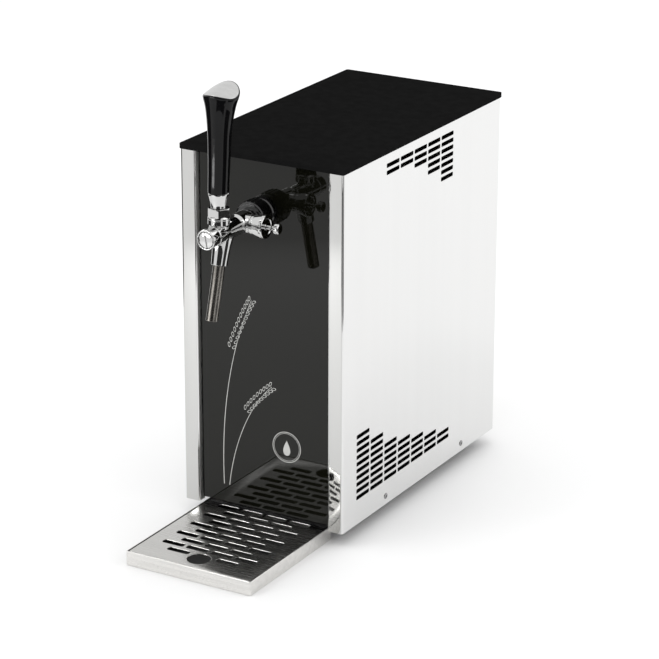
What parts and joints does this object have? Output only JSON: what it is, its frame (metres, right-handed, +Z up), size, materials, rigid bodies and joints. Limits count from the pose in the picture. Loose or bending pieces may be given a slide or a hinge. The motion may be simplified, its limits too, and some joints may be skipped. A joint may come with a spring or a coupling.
{
  "type": "draft beer dispenser",
  "caption": "Counter-top draft beer cooler: stainless case with black glass front and lid, lever tap with flow compensator, pull-out drip tray, rear hose fittings and switches.",
  "frame": {"origin": "centre of the bounding box at the surface that the feet and the drip tray stand on", "axes": "+Z up, +Y from the tap to the rear panel, +X to the right seen from the tap side"},
  "size_m": [0.177, 0.4632, 0.4544],
  "materials": {
    "polished_stainless": "polished sheet",
    "brushed_stainless": "fine brushed",
    "zinc_sheet": "zinc plated",
    "chrome": "bright",
    "black_glass": "gloss black, opaque",
    "black_lid": "satin black",
    "gloss_black": "gloss black",
    "matte_black": "matte black",
    "rubber": "matte",
    "brass": "turned",
    "compressor_paint": "satin black",
    "aluminium": "mill finish",
    "copper": "drawn copper",
    "foam": "closed-cell foam",
    "hose": "milky hose",
    "red_rocker": "gloss red",
    "green_rocker": "gloss green"
  },
  "bodies": {
    "cabinet": {"left_side_panel": "polished_stainless", "right_side_panel": "polished_stainless", "top_lid": "black_lid", "front_glass": "black_glass", "front_backing_plate": "zinc_sheet", "base_pan": "zinc_sheet", "foot_front_left": "rubber", "foot_front_right": "rubber", "foot_rear_left": "rubber", "foot_rear_right": "rubber", "rear_panel": "brushed_stainless", "mid_shelf": "zinc_sheet", "tap_body": "chrome", "tap_front_cap": "chrome", "spout_tube": "brushed_stainless", "tap_bonnet": "chrome", "coupling_nut": "gloss_black", "tap_rosette": "gloss_black", "tap_shank": "chrome", "shank_back_nut": "brass", "compensator_cap": "chrome", "beer_inlet_fitting": "chrome", "air_outlet_fitting": "chrome", "mains_cable_gland": "matte_black", "cooling_switch_housing": "matte_black", "air_switch_housing": "matte_black", "thermostat_body": "matte_black", "compressor": "compressor_paint", "start_relay_box": "matte_black", "condenser": "aluminium", "fan_shroud": "matte_black", "fan_motor": "matte_black", "filter_drier": "copper", "insulation_jacket": "foam", "insulation_lid": "foam", "cooling_block": "aluminium", "air_pump": "matte_black", "beer_supply_line": "hose", "beer_outlet_line": "hose", "air_line": "hose", "discharge_line": "copper", "liquid_line": "copper", "capillary_line": "copper", "suction_line": "copper"},
    "drip_tray": {"drip_pan": "brushed_stainless"},
    "tray_grid": {"drip_grid": "polished_stainless"},
    "lever": {"tap_lever": "brass", "lever_collar": "chrome", "handle_ferrule": "chrome", "tap_handle": "gloss_black", "handle_top_plate": "brushed_stainless"},
    "plunger": {"tap_plunger": "brass", "valve_seal": "rubber"},
    "compensator": {"compensator_knob": "chrome"},
    "beer_collet": {"beer_inlet_collet": "matte_black"},
    "air_collet": {"air_outlet_collet": "matte_black"},
    "cooling_rocker": {"cooling_switch_rocker": "red_rocker"},
    "air_rocker": {"air_switch_rocker": "green_rocker"},
    "temperature_knob": {"thermostat_knob": "gloss_black"},
    "fan": {"fan_wheel": "matte_black"}
  },
  "joints": [
    {"name": "tray_slide", "type": "slide", "parent": "cabinet", "child": "drip_tray", "axis": [0, -1, 0], "range_m": [0, 0.1]},
    {"name": "grid_lift", "type": "hinge", "parent": "drip_tray", "child": "tray_grid", "pos_m": [0, -0.08635, 0.014], "axis": [-1, 0, 0], "range_deg": [0, 20]},
    {"name": "lever_hinge", "type": "hinge", "parent": "cabinet", "child": "lever", "pos_m": [0, -0.17065, 0.3285], "axis": [1, 0, 0], "range_deg": [0, 25]},
    {"name": "plunger_slide", "type": "slide", "parent": "cabinet", "child": "plunger", "axis": [0, 1, 0], "range_m": [0, 0.0047]},
    {"name": "compensator_turn", "type": "hinge", "parent": "cabinet", "child": "compensator", "pos_m": [0.03, -0.13265, 0.3179], "axis": [1, 0, 0], "range_deg": [0, 180]},
    {"name": "beer_collet_press", "type": "slide", "parent": "cabinet", "child": "beer_collet", "axis": [0, -1, 0], "range_m": [0, 0.0015], "stiffness_N_per_m": 200},
    {"name": "air_collet_press", "type": "slide", "parent": "cabinet", "child": "air_collet", "axis": [0, -1, 0], "range_m": [0, 0.0015], "stiffness_N_per_m": 200},
    {"name": "cooling_switch", "type": "hinge", "parent": "cabinet", "child": "cooling_rocker", "pos_m": [0.01, 0.21235, 0.3195], "axis": [-1, 0, 0], "range_deg": [0, 20]},
    {"name": "air_switch", "type": "hinge", "parent": "cabinet", "child": "air_rocker", "pos_m": [0.05, 0.21235, 0.3195], "axis": [-1, 0, 0], "range_deg": [0, 20]},
    {"name": "thermostat_turn", "type": "hinge", "parent": "cabinet", "child": "temperature_knob", "pos_m": [-0.044, 0.22535, 0.3195], "axis": [0, 1, 0], "range_deg": [0, 270]},
    {"name": "fan_spin", "type": "hinge", "parent": "cabinet", "child": "fan", "pos_m": [0, -0.04315, 0.078], "axis": [0, 1, 0], "continuous": true}
  ],
  "couplings": [
    {"joint": "plunger_slide", "follows": "lever_hinge", "m_per_rad": 0.0106}
  ]
}
